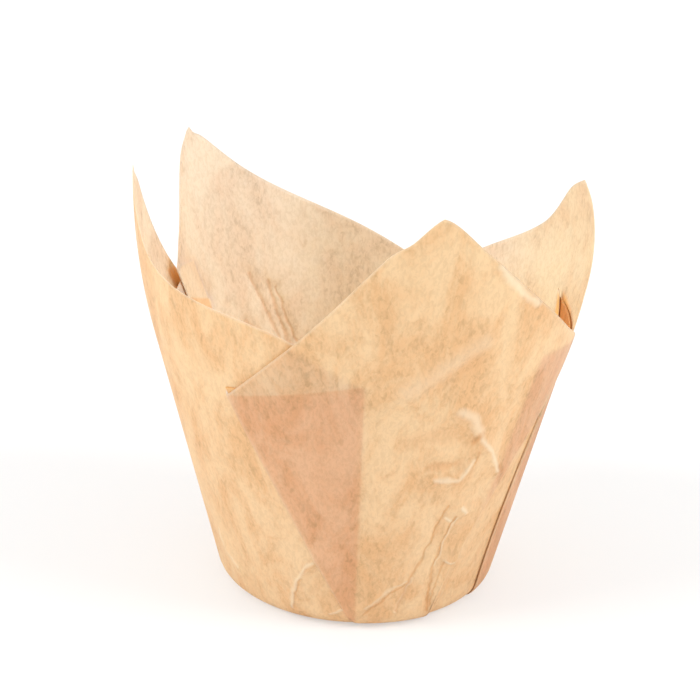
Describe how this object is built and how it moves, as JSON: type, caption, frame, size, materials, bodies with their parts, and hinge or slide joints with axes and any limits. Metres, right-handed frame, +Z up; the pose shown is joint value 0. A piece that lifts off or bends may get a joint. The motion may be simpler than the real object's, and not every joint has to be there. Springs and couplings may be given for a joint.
{
  "type": "tulip baking cup",
  "caption": "Tulip-shaped baking cup: a square of greaseproof paper pressed into a tapered cup with overlapping pleats and upright pointed petals.",
  "frame": {"origin": "centre of the base, on its underside", "axes": "+Z up along the cup's axis, -Y towards the front petal's side, +X to the right when seen from the front"},
  "size_m": [0.0828, 0.0828, 0.0807],
  "materials": {
    "greaseproof_paper": "unbleached light tan greaseproof paper, faintly waxy, mottled with fine fibres, creased at the folds"
  },
  "bodies": {
    "root": {"tulip_cup": "greaseproof_paper"}
  },
  "joints": []
}
